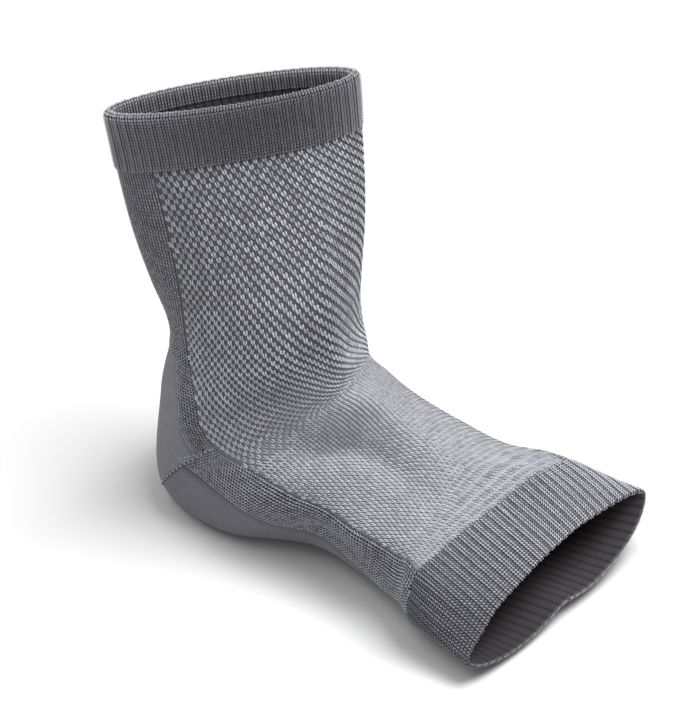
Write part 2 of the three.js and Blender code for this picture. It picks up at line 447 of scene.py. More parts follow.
@dataclass(frozen=True)
class Finish:
    """What every yarn of the sleeve shares: a matt, faintly downy surface."""

    name: str
    yarn: Colour
    gap: Colour
    roughness: float = 0.86
    rough_spread: float = 0.16
    rough_scale: float = 700.0
    specular: float = 0.2
    sheen: float = 0.10
    sheen_roughness: float = 0.6
    relief: float = 0.5
    relief_depth: float = 0.25

    def material(self) -> bpy.types.Material:
        """Makes the finish's material, or finds it by its name if it was made before.

        Returns:
            The material.
        """
        made = bpy.data.materials.get(self.name)
        if made:
            return made
        made = bpy.data.materials.new(self.name)
        made.use_nodes = True
        made.node_tree.nodes.clear()
        kit = NodeKit(made.node_tree)
        place = kit.node("ShaderNodeTexCoord").outputs["Object"]
        colour, height = self.pattern(kit, place)
        rough = self.roughness + self.rough_spread * (self.cloud(kit, place, self.rough_scale) - 0.5)
        bump = kit.node(
            "ShaderNodeBump",
            {},
            {"Strength": self.relief, "Distance": self.relief_depth * MM, "Height": height},
        )
        surface = kit.node(
            "ShaderNodeBsdfPrincipled",
            {},
            {
                "Base Color": colour,
                "Roughness": rough,
                "Normal": bump.outputs[0],
                "Sheen Weight": self.sheen,
                "Sheen Roughness": self.sheen_roughness,
                "Specular IOR Level": self.specular,
            },
        )
        kit.node("ShaderNodeOutputMaterial", {}, {"Surface": surface.outputs[0]})
        return made

    def cloud(self, kit: NodeKit, place: bpy.types.NodeSocket, scale: float) -> Value:
        """Soft noise from 0 to 1, with a number of clouds to the metre."""
        return kit.value(
            "ShaderNodeTexNoise", {}, {"Vector": place, "Scale": scale, "Detail": 2.0, "Roughness": 0.6}
        )

    def knit(self, kit: NodeKit) -> tuple[Value, Value, Value]:
        """The piece's wale and course numbers, and a third that each finish reads in its own way.

        Args:
            kit: the material's node tree.

        Returns:
            The three numbers.
        """
        found = kit.node("ShaderNodeAttribute", {"attribute_name": "knit"})
        parts = kit.node("ShaderNodeSeparateXYZ", {}, {0: found.outputs["Vector"]})
        return tuple(Value(kit, output) for output in parts.outputs)

    def pattern(self, kit: NodeKit, place: bpy.types.NodeSocket) -> tuple[Given, Value]:
        """The colour and the height of the surface, which each kind of finish gives."""
        raise NotImplementedError


@dataclass(frozen=True)
class StitchYarn(Finish):
    """Yarn of the stitches that are modelled one by one, each a little lighter or darker."""

    fibre_scale: float = 5200.0
    fibres: float = 0.5
    # Specks: random lighter and darker spots of the yarn; the lighter ones are also painted highlights
    # on the fibres.
    speck_scale: float = 1400.0
    specks: float = 0.9
    tones: float = 0.75

    def pattern(self, kit: NodeKit, place: bpy.types.NodeSocket) -> tuple[Given, Value]:
        """The colour and the height of the surface.

        Args:
            kit: the material's node tree.
            place: Object coordinates.

        Returns:
            The colour's socket and the height.
        """
        tone = kit.value("ShaderNodeAttribute", {"attribute_name": "tone"}, {}, "Fac")
        fibre = self.cloud(kit, place, self.fibre_scale)
        speck = self.cloud(kit, place, self.speck_scale)
        lit = tone * self.tones + (1.0 - self.tones)
        share = lit + (fibre - 0.5) * self.fibres + (speck - 0.5) * self.specks
        return kit.blend(share.smooth(0.0, 1.0), self.gap, self.yarn), fibre


@dataclass(frozen=True)
class PlainKnit(Finish):
    """Flat knit of slanting stitch legs.

    The knit's third number is a distance or a share. The knit is dark where that is below the band,
    as under a layer of stitches, and has the yarn's own colour above it.
    """

    band: float = 7.0
    fade: float = 5.0
    legs: float = 0.5
    lean: float = 0.5
    side_start: float = 0.55
    side_dark: float = 0.75
    mottle: float = 0.3
    mottle_scale: float = 260.0
    soft: float = 0.1

    def pattern(self, kit: NodeKit, place: bpy.types.NodeSocket) -> tuple[Given, Value]:
        """The colour and the height of the surface.

        Args:
            kit: the material's node tree.
            place: Object coordinates.

        Returns:
            The colour's socket and the height.
        """
        wale, course, past_band = self.knit(kit)
        across = wale.from_middle()
        slant = (course + across * self.lean).from_middle()
        leg = (1.0 - slant**2.0) * (1.0 - self.side_dark * across.smooth(self.side_start, 1.0))
        own = past_band.smooth(self.band - self.fade, self.band + self.fade)
        cloud = self.cloud(kit, place, self.mottle_scale)
        share = (1.0 - self.legs) + self.legs * leg + self.mottle * (cloud - 0.5)
        lit = share.smooth(-self.soft, 1.0 + self.soft) * own
        return kit.blend(lit, self.gap, self.yarn), leg


@dataclass(frozen=True)
class RibKnit(Finish):
    """Ribbed knit: yarn on the ribs, darker furrows between them with a dot in each course.

    The knit's third number is the share of painted shade, which darkens the ribs towards the gap.
    Inside the other zones it is mostly above 1, which leaves them as dark as the gap.
    """

    furrow: float = 0.75
    furrow_start: float = 0.45
    furrow_end: float = 0.95
    furrow_legs: float = 0.35
    furrow_sink: float = 0.6
    legs: float = 0.45
    lean: float = 0.6
    mottle: float = 0.25
    mottle_scale: float = 300.0
    brightest: float = 1.1

    def pattern(self, kit: NodeKit, place: bpy.types.NodeSocket) -> tuple[Given, Value]:
        """The colour and the height of the surface.

        Args:
            kit: the material's node tree.
            place: Object coordinates.

        Returns:
            The colour's socket and the height.
        """
        rib, course, closed = self.knit(kit)
        off_rib = (rib + 0.5).from_middle()
        slant = (course + off_rib * self.lean).from_middle()
        leg = 1.0 - slant**2.0
        furrow = off_rib.smooth(self.furrow_start, self.furrow_end)
        cloud = self.cloud(kit, place, self.mottle_scale)
        lit = (1.0 - self.legs) + self.legs * leg + self.mottle * (cloud - 0.5)
        share = lit - furrow * self.furrow * (1.0 - self.furrow_legs * leg)
        # Painted shade: the knit's third number darkens the ribs towards the gap.
        unshaded_share = share.smooth(0.0, self.brightest) * (1.0 - closed)
        return kit.blend(unshaded_share, self.gap, self.yarn), leg * (1.0 - furrow * self.furrow_sink)


# A band that no zone of the sleeve is wide enough to leave
ALL_OVER = 999.0

CUFF_YARN = RibKnit("ankle_cuff_rib", (0.020, 0.019, 0.023), (0.010, 0.009, 0.012))
CUFF_STITCH = StitchYarn("ankle_cuff_stitch", (0.510, 0.510, 0.555), (0.105, 0.104, 0.118))
TOE_YARN = RibKnit("toe_cuff_rib", (0.055, 0.055, 0.064), (0.016, 0.015, 0.019))
TOE_STITCH = StitchYarn("toe_cuff_stitch", (0.570, 0.580, 0.645), (0.120, 0.121, 0.140))
GROUND_YARN = PlainKnit("mesh_ground", (0.310, 0.312, 0.342), (0.082, 0.081, 0.094), band=4.0, fade=4.0)
LIGHT_YARN = StitchYarn("mesh_light_stitch", (0.480, 0.486, 0.522), (0.200, 0.202, 0.222))
BACK_YARN = PlainKnit("back_plain_knit", (0.030, 0.029, 0.035), (0.014, 0.013, 0.016), band=ALL_OVER)
HEEL_YARN = PlainKnit(
    "heel_fine_knit", (0.225, 0.228, 0.257), (0.018, 0.017, 0.021), band=9.5, fade=3.0, legs=0.7
)
SOLE_YARN = PlainKnit(
    "sole_plain_knit", (0.180, 0.182, 0.207), (0.018, 0.017, 0.021), band=18.5, fade=4.0, legs=0.7
)
PLAIN_STITCH_YARN = StitchYarn("plain_knit_stitch", (0.500, 0.506, 0.558), (0.150, 0.151, 0.171))
MARK_YARN = StitchYarn("heel_turn_mark", (0.400, 0.404, 0.440), (0.045, 0.044, 0.053), specks=0.2)
CUFF_INSIDE = RibKnit("ankle_cuff_inside", (0.090, 0.088, 0.098), (0.020, 0.019, 0.022))
# The tube's inside: its own dark reddish-brown yarn, made darker still with painted shade of the hollow.
INSIDE_YARN_AND_SHADE = RibKnit("inside_knit", (0.036, 0.029, 0.033), (0.009, 0.007, 0.009))


# Meshes of grids


class MeshDraft:
    """Collects grids of points into one watertight mesh with knit coordinates on its face corners.

    A knit coordinate is a wale number, a course number and a third number for the finish.
    """

    def __init__(self) -> None:
        """Starts with nothing."""
        self.points: list[np.ndarray] = []
        self.quads: list[np.ndarray] = []
        self.knit: list[np.ndarray] = []
        self.inside: list[np.ndarray] = []
        self.total = 0

    def lay(self, points: np.ndarray) -> np.ndarray:
        """Adds points.

        Args:
            points: a grid of points in millimetres.

        Returns:
            Their numbers, in the same grid.
        """
        ids = self.total + np.arange(points[..., 0].size).reshape(points.shape[:-1])
        self.points.append(points.reshape(-1, 3) * MM)
        self.total += ids.size
        return ids

    def weave(self, ids: np.ndarray, knit: np.ndarray, inside: bool = False) -> None:
        """Joins a grid of points with faces.

        Args:
            ids: the points' numbers.
            knit: the knit coordinate of each point.
            inside: whether the faces are on the inside of the tube.
        """

        def corners(grid: np.ndarray) -> np.ndarray:
            """The four corners of every cell."""
            return np.stack([grid[:-1, :-1], grid[1:, :-1], grid[1:, 1:], grid[:-1, 1:]], axis=2)

        quads = corners(ids).reshape(-1, 4)
        self.quads.append(quads)
        self.knit.append(corners(knit).reshape(-1, 3))
        self.inside.append(np.full(len(quads), inside))

    def shell(self, outer: np.ndarray, inner: np.ndarray, knit: np.ndarray) -> None:
        """Adds an outer and an inner skin and joins them along their four edges.

        Args:
            outer: the outer skin's grid of points.
            inner: the inner skin's grid of points.
            knit: the knit coordinate of each point.
        """
        out = self.lay(outer)
        back = self.lay(inner)
        self.weave(out, knit)
        self.weave(back[:, ::-1], knit[:, ::-1], inside=True)
        self.weave(np.stack([back[0], out[0]]), np.stack([knit[0], knit[0]]))
        self.weave(np.stack([out[-1], back[-1]]), np.stack([knit[-1], knit[-1]]))
        first = np.stack([knit[:, 0]] * 2, axis=1)
        last = np.stack([knit[:, -1]] * 2, axis=1)
        self.weave(np.stack([back[:, 0], out[:, 0]], axis=1), first)
        self.weave(np.stack([out[:, -1], back[:, -1]], axis=1), last)

    def piece(self, name: str, finishes: Iterable[Finish], **values: np.ndarray) -> bpy.types.Object:
        """Makes the mesh object.

        Args:
            name: the piece's name.
            finishes: the finish of the outside, then that of the inside.
            values: extra numbers or vectors for each point, by attribute name.

        Returns:
            The object, at the origin.
        """
        mesh = bpy.data.meshes.new(name)
        mesh.from_pydata(np.concatenate(self.points).tolist(), [], np.concatenate(self.quads).tolist())
        mesh.shade_smooth()
        inside = np.concatenate(self.inside)
        mesh.polygons.foreach_set("material_index", inside.astype(np.int32))
        mesh.attributes.new("inside", "BOOLEAN", "FACE").data.foreach_set("value", inside)
        knit = mesh.attributes.new("knit", "FLOAT_VECTOR", "CORNER")
        knit.data.foreach_set("vector", np.concatenate(self.knit).astype(np.float32).ravel())
        set_values(mesh, values)
        for finish in finishes:
            mesh.materials.append(finish.material())
        made = bpy.data.objects.new(name, mesh)
        bpy.context.scene.collection.objects.link(made)
        return made


def set_values(mesh: bpy.types.Mesh, values: dict[str, np.ndarray]) -> None:
    """Stores numbers or vectors on a mesh's points.

    Args:
        mesh: the mesh.
        values: an array for each attribute name.
    """
    for name, array in values.items():
        is_vector = array.ndim == 2
        made = mesh.attributes.new(name, "FLOAT_VECTOR" if is_vector else "FLOAT", "POINT")
        made.data.foreach_set("vector" if is_vector else "value", array.astype(np.float32).ravel())


# Geometry Nodes


class GrowthTree:
    """A Geometry Nodes tree with named inputs, which is run once on a piece and then removed."""

    def __init__(self, name: str, inputs: dict[str, tuple[str, Any]]) -> None:
        """Starts the tree.

        Args:
            name: the tree's name.
            inputs: the socket type and the value of each named input.
        """
        self.tree = bpy.data.node_groups.new(name, "GeometryNodeTree")
        self.tree.interface.new_socket("Geometry", in_out="INPUT", socket_type="NodeSocketGeometry")
        self.tree.interface.new_socket("Geometry", in_out="OUTPUT", socket_type="NodeSocketGeometry")
        self.given: dict[str, Any] = {}
        for label, (kind, value) in inputs.items():
            socket = self.tree.interface.new_socket(label, in_out="INPUT", socket_type=kind)
            self.given[socket.identifier] = value
        self.kit = NodeKit(self.tree)
        self.start = self.kit.node("NodeGroupInput").outputs

    def number(self, name: str) -> Value:
        """One of the tree's inputs, for expressions."""
        return Value(self.kit, self.start[name])

    def attribute(self, name: str, kind: str) -> bpy.types.NodeSocket:
        """A named attribute of the piece."""
        node = self.kit.node("GeometryNodeInputNamedAttribute", {"data_type": kind}, {"Name": name})
        return next(output for output in node.outputs if output.enabled)

    def close(self, geometry: bpy.types.NodeSocket) -> None:
        """Ends the tree: real geometry, smooth faces and the finish, with another finish inside.

        Args:
            geometry: what the nodes before have made.
        """
        real = self.kit.node("GeometryNodeRealizeInstances", {}, {0: geometry})
        soft = self.kit.node("GeometryNodeSetShadeSmooth", {}, {0: real.outputs[0]})
        last = self.kit.node(
            "GeometryNodeSetMaterial", {}, {0: soft.outputs[0], "Material": self.start["Finish"]}
        )
        if "Inside Finish" in self.start:
            inside = self.attribute("inside", "BOOLEAN")
            sockets = {0: last.outputs[0], "Selection": inside, "Material": self.start["Inside Finish"]}
            last = self.kit.node("GeometryNodeSetMaterial", {}, sockets)
        self.kit.node("NodeGroupOutput", {}, {0: last.outputs[0]})

    def grow(self, piece: bpy.types.Object) -> None:
        """Runs the tree on a piece and leaves it with the plain mesh that results.

        Args:
            piece: the piece.
        """
        modifier = piece.modifiers.new(self.tree.name, "NODES")
        modifier.node_group = self.tree
        for identifier, value in self.given.items():
            modifier[identifier] = value
        graph = bpy.context.evaluated_depsgraph_get()
        mesh = bpy.data.meshes.new_from_object(piece.evaluated_get(graph))
        mesh.name = piece.name
        piece.modifiers.clear()
        piece.data = mesh


@dataclass(frozen=True)
class RibRelief:
    """Rounded ribs with narrow furrows, raised out of a smooth cuff."""

    depth: float
    roundness: float = 2.4
    settle: float = 0.62

    def grow(self, piece: bpy.types.Object, finish: Finish, inside: Finish) -> None:
        """Raises the ribs.

        Args:
            piece: a cuff with rib_phase, a whole number on each rib, and rib_out, the way out.
            finish: the finish of the outside.
            inside: the finish of the inside.
        """
        growth = GrowthTree(
            "rib_relief",
            {
                "Rib Depth": ("NodeSocketFloat", self.depth * MM),
                "Rib Roundness": ("NodeSocketFloat", self.roundness),
                "Settle": ("NodeSocketFloat", self.settle),
                "Finish": ("NodeSocketMaterial", finish.material()),
                "Inside Finish": ("NodeSocketMaterial", inside.material()),
            },
        )
        kit = growth.kit
        phase = Value(kit, growth.attribute("rib_phase", "FLOAT"))
        off_rib = (phase + 0.5).from_middle()
        ridge = 1.0 - off_rib ** growth.number("Rib Roundness")
        rise = (ridge - growth.number("Settle")) * growth.number("Rib Depth")
        out = growth.attribute("rib_out", "FLOAT_VECTOR")
        offset = kit.node("ShaderNodeVectorMath", {"operation": "SCALE"}, {0: out, "Scale": rise})
        moved = kit.node(
            "GeometryNodeSetPosition", {}, {0: growth.start["Geometry"], "Offset": offset.outputs[0]}
        )
        growth.close(moved.outputs[0])
        growth.grow(piece)


@dataclass
class StitchBed:
    """Where a layer of stitches lies: a point, two directions, a cell and a tone for each stitch."""

    points: np.ndarray
    out: np.ndarray
    up: np.ndarray
    cell: np.ndarray
    tone: np.ndarray

    def kept(self, keep: np.ndarray) -> "StitchBed":
        """Only the stitches that the mask keeps."""
        return StitchBed(*(getattr(self, column.name)[keep] for column in fields(self)))


@dataclass(frozen=True)
class StitchShape:
    """A two-legged stitch. Tip, bulge and mouth guide one leg, in shares of the stitch's cell."""

    tip: Triple
    bulge: Triple
    mouth: Triple
    radius: float
    taper: float = 0.45
    bends: int = 3
    sides: int = 4

    def grow(self, name: str, bed: StitchBed, finish: Finish) -> bpy.types.Object:
        """Lays a stitch on every point of a bed.

        Args:
            name: the piece's name.
            bed: where the stitches lie.
            finish: their yarn.

        Returns:
            The finished piece.
        """
        mesh = bpy.data.meshes.new(name)
        mesh.from_pydata((bed.points * MM).tolist(), [], [])
        set_values(mesh, {"out": bed.out, "up": bed.up, "cell": bed.cell * MM, "tone": bed.tone})
        piece = bpy.data.objects.new(name, mesh)
        bpy.context.scene.collection.objects.link(piece)
        growth = GrowthTree(
            "stitch_rows",
            {
                "Tip": ("NodeSocketVector", self.tip),
                "Bulge": ("NodeSocketVector", self.bulge),
                "Mouth": ("NodeSocketVector", self.mouth),
                "Yarn Radius": ("NodeSocketFloat", self.radius),
                "Taper": ("NodeSocketFloat", self.taper),
                "Bends": ("NodeSocketInt", self.bends),
                "Sides": ("NodeSocketInt", self.sides),
                "Finish": ("NodeSocketMaterial", finish.material()),
            },
        )
        growth.close(self.rows(growth))
        growth.grow(piece)
        return piece

    def rows(self, growth: GrowthTree) -> bpy.types.NodeSocket:
        """The nodes that make one stitch and put it on every point.

        Args:
            growth: the tree that they are added to.

        Returns:
            The instances' socket.
        """
        kit = growth.kit
        start = growth.start
        line = kit.node(
            "GeometryNodeCurveQuadraticBezier",
            {},
            {
                "Resolution": start["Bends"],
                "Start": start["Tip"],
                "Middle": start["Bulge"],
                "End": start["Mouth"],
            },
        )
        ring = kit.node(
            "GeometryNodeCurvePrimitiveCircle",
            {"mode": "RADIUS"},
            {"Resolution": start["Sides"], "Radius": start["Yarn Radius"]},
        )
        share = Value(kit, kit.node("GeometryNodeSplineParameter").outputs["Factor"])
        full = 1.0 - growth.number("Taper") * (share * 2.0 - 1.0) ** 2.0
        leg = kit.node(
            "GeometryNodeCurveToMesh",
            {},
            {
                "Curve": line.outputs[0],
                "Profile Curve": ring.outputs[0],
                "Scale": full,
                "Fill Caps": True,
            },
        )
        twin = kit.node("GeometryNodeTransform", {}, {0: leg.outputs[0], "Scale": (-1.0, 1.0, 1.0)})
        turned = kit.node("GeometryNodeFlipFaces", {}, {0: twin.outputs[0]})
        both = kit.node("GeometryNodeJoinGeometry", {}, {0: leg.outputs[0]})
        kit.tree.links.new(turned.outputs[0], both.inputs[0])
        stand = kit.node(
            "FunctionNodeAxesToRotation",
            {"primary_axis": "Z", "secondary_axis": "Y"},
            {0: growth.attribute("out", "FLOAT_VECTOR"), 1: growth.attribute("up", "FLOAT_VECTOR")},
        )
        return kit.node(
            "GeometryNodeInstanceOnPoints",
            {},
            {
                "Points": start["Geometry"],
                "Instance": both.outputs[0],
                "Rotation": stand.outputs[0],
                "Scale": growth.attribute("cell", "FLOAT_VECTOR"),
            },
        ).outputs[0]


MESH_STITCH = StitchShape((0.12, -0.42, 0.0), (0.42, 0.02, 0.75), (0.34, 0.42, 0.0), 0.27, 0.25)
KNIT_STITCH = StitchShape((0.05, -0.44, 0.0), (0.13, 0.04, 0.90), (0.28, 0.42, 0.0), 0.12, 0.20, sides=3)
FOOT_STITCH = replace(MESH_STITCH, sides=3)
MARK_STITCH = StitchShape((0.05, -0.50, 0.0), (0.30, 0.0, 0.80), (0.45, 0.50, 0.0), 0.20)

# The darkest and the lightest stitch of plain knit
PLAIN_TONES = (0.2, 0.9)


# The sleeve's parts


class Part:
    """What every part of the sleeve shares."""

    form: SleeveForm
    node: str
    slot: str

    def settle(self, piece: bpy.types.Object, replaces: bool) -> None:
        """Hands a finished piece to the frame.

        Args:
            piece: the piece.
            replaces: whether it stands for the part's own solid.
        """
        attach(piece, BODY)
        if replaces:
            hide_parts(self.node)
        log.info("%s: %d faces", piece.name, len(piece.data.polygons))


@dataclass
class RibbedCuff(Part):
    """A ribbed cuff, whose ribs run over its free rim and on inside.

    Each rib has a column of stitches for every entry of wale_rise and wale_tone. On the wearer's
    right side painted shade darkens the ribs and their stitches.
    the ribs close up and darken.
    """

    form: SleeveForm
    node: str
    slot: str
    base: float
    rim: float
    proud: float
    finish: Finish
    stitch: Finish
    inner: Finish
    wale_rise: tuple[float, ...]
    wale_tone: tuple[float, ...]
    first_wale: float = 0.0
    rim_wall: float = 2.2
    wall: float = 2.2
    ribs: int = 60
    steps: int = 6
    rows: int = 14
    rim_steps: int = 8
    base_share: float = 0.02
    ledge_steps: int = 5
    ledge_inset: float = 0.9
    ledge_drop: float = 0.3
    ledge_reach: float = 0.7
    inner_strength: float = 0.3
    rib: RibRelief = RibRelief(0.25, 2.0, 0.65)
    course: float = 1.07
    inner_courses: int = 5
    inner_shade: float = 0.5
    first_course: float = 0.2
    stitch_depth: float = 0.9
    uneven: float = 0.2
    # Painted shade on the wearer's right side: its strength, the angle where it is darkest, and its
    # reach in degrees.
    slack: float = 0.0
    painted_shade_middle: float = -80.0
    painted_shade_reach: float = 50.0
    floor_room: float = 0.7

    def profile(self) -> dict[str, np.ndarray]:
        """The line round the cuff's wall, from the base up the outside, over the rim and down inside.

        Returns:
            For each point its station, its height out of the tube's face and past the rim in
            millimetres, the wall's own outward direction in those two, the ribs' strength, and 1 for
            the points inside.
        """
        wall = mix(self.wall, self.rim_wall, np.linspace(0, 1, self.rows) ** 2)
        along = mix(self.base, self.rim, np.linspace(self.base_share, 1.0, self.rows))
        ledge = np.linspace(0, np.pi / 2, self.ledge_steps)[:-1]
        turn = np.linspace(0, np.pi, self.rim_steps + 1)[1:-1]
        half = self.rim_wall / 2
        ones = np.ones(self.rows)
        zeros = np.zeros(self.rows)
        over = np.ones(len(turn))
        foot = np.full(self.ledge_steps, self.base)
        base_in = self.proud - self.wall
        lip = self.proud + self.ledge_drop
        columns = {
            "station": [foot, along, over * self.rim, along[::-1], [self.base]],
            "out": [
                [base_in + self.ledge_inset, *(-self.ledge_drop + lip * np.sin(ledge))],
                ones * self.proud,
                self.proud - half + half * np.cos(turn),
                (self.proud - wall)[::-1],
                [base_in],
            ],
            "past": [
                [0.0, *(self.ledge_reach * (1 - np.cos(ledge)))],
                zeros,
                half * np.sin(turn),
                zeros,
                [0.0],
            ],
            "turn_out": [[0.0, *np.sin(ledge)], ones, np.cos(turn), -ones, [-1.0]],
            "turn_past": [[-1.0, *(-np.cos(ledge))], zeros, np.sin(turn), zeros, [0.0]],
            "strength": [
                [0.0, *(np.sin(ledge) ** 2)],
                ones,
                over,
                ones * self.inner_strength,
                [0.0],
            ],
            "inside": [foot * 0, zeros, over * 0, ones, [1.0]],
        }
        return {name: np.concatenate(parts) for name, parts in columns.items()}

    def place(self, line: dict[str, np.ndarray], shares: np.ndarray) -> tuple[np.ndarray, ...]:
        """Lays the profile round the tube.

        Args:
            line: the profile.
            shares: how far round from the back each column is, as a share of the girth.

        Returns:
            Points, the wall's outward directions, and the directions along the profile.
        """
        stations = np.repeat(line["station"][:, None], len(shares), axis=1)
        angles = self.form.even_ring(line["station"], shares)
        points, out, along = self.form.frame(stations, angles)
        past = along * (1.0 if self.rim > self.base else -1.0)
        across = line["turn_out"][:, None, None]
        over = line["turn_past"][:, None, None]
        points = points + out * line["out"][:, None, None] + past * line["past"][:, None, None]
        points[..., 2] = np.maximum(points[..., 2], 0)
        return points, unit(out * across + past * over), unit(past * across - out * over)

    def closed(self, station: np.ndarray, shares: np.ndarray) -> np.ndarray:
        """How much painted shade darkens the cuff on the wearer's right side.

        Args:
            station: places along the tube.
            shares: how far round from the back each column is, as a share of the girth.

        Returns:
            A share from 0 to 1 for each station and column.
        """
        # Painted shade, darkest at its middle angle and fading round the cuff.
        away = np.degrees(self.form.even_ring(station, shares)) - self.painted_shade_middle
        return self.slack * np.exp(-((away / self.painted_shade_reach) ** 2))

    def build(self) -> None:
        """Makes the ribbed wall and the columns of stitches on it."""
        line = self.profile()
        columns = self.ribs * self.steps
        shares = np.arange(columns) / columns
        points, out, _ = self.place(line, shares)
        draft = MeshDraft()
        ids = draft.lay(points)
        ring = np.concatenate([ids, ids[:, :1]], axis=1)
        course = run_length(points).mean(axis=1) / self.course
        phase = np.arange(columns + 1) / self.steps
        knit = np.stack(
            [
                np.repeat(phase[None], len(course), axis=0),
                np.repeat(course[:, None], columns + 1, axis=1),
                # The share of painted shade, as the knit's third number.
                self.closed(line["station"], np.append(shares, 1.0)),
            ],
            axis=-1,
        )
        is_outer_first = self.rim > self.base
        cut = int(np.argmax(line["inside"] > 0))
        if not is_outer_first:
            ring = ring[::-1]
            knit = knit[::-1]
            cut = len(course) - cut
        draft.weave(ring[: cut + 1], knit[: cut + 1], inside=not is_outer_first)
        draft.weave(ring[cut:], knit[cut:], inside=is_outer_first)
        draft.weave(np.stack([ring[-1], ring[0]]), np.stack([knit[-1], knit[0]]))
        strength = np.repeat(line["strength"][:, None], columns, axis=1)
        piece = draft.piece(
            f"{self.node}_knit",
            (self.finish, self.inner),
            rib_phase=np.tile(phase[:-1], len(course)),
            rib_out=(out * strength[..., None]).reshape(-1, 3),
        )
        self.rib.grow(piece, self.finish, self.inner)
        self.settle(piece, replaces=True)
        stitches = KNIT_STITCH.grow(f"{self.node}_stitches", self.bed(line), self.stitch)
        self.settle(stitches, replaces=False)

    def bed(self, line: dict[str, np.ndarray]) -> StitchBed:
        """Where the stitches of the ribs lie.

        Args:
            line: the profile of the cuff's wall.

        Returns:
            A bed with a few columns of stitches to each rib.
        """
        kinds = len(self.wale_rise)
        count = self.ribs * kinds
        kind = np.arange(count) % kinds
        shares = (np.arange(count) / kinds + self.first_wale) / self.ribs
        length = run_length(self.place(line, shares)[0]).mean(axis=1)
        first = length[self.ledge_steps] + self.first_course
        last = length[int(np.argmax(line["inside"] > 0))] + self.inner_courses * self.course
        courses = np.arange(first, last, self.course)
        lay = {name: np.interp(courses, length, column) for name, column in line.items()}
        points, out, up = self.place(lay, shares)
        rise = np.take(self.wale_rise, kind)[None] * lay["strength"][:, None]
        points = points + out * rise[..., None]
        pitch = np.linalg.norm(points - np.roll(points, 1, axis=1), axis=-1)
        cell = np.stack(
            [pitch, np.full_like(pitch, self.course), np.full_like(pitch, self.stitch_depth)], axis=-1
        )
        uneven = np.random.default_rng(SEED).uniform(-self.uneven, self.uneven, pitch.shape)
        # The stitches get the same painted shade, and those inside are darker still.
        unshaded = 1 - self.closed(lay["station"], shares)
        lit = unshaded * (1 - self.inner_shade * lay["inside"][:, None])
        tone = np.clip(np.take(self.wale_tone, kind)[None] + uneven, 0, 1) * lit
        bed = StitchBed(points, out, up, cell, tone)
        return bed.kept(points[..., 2] > self.floor_room)


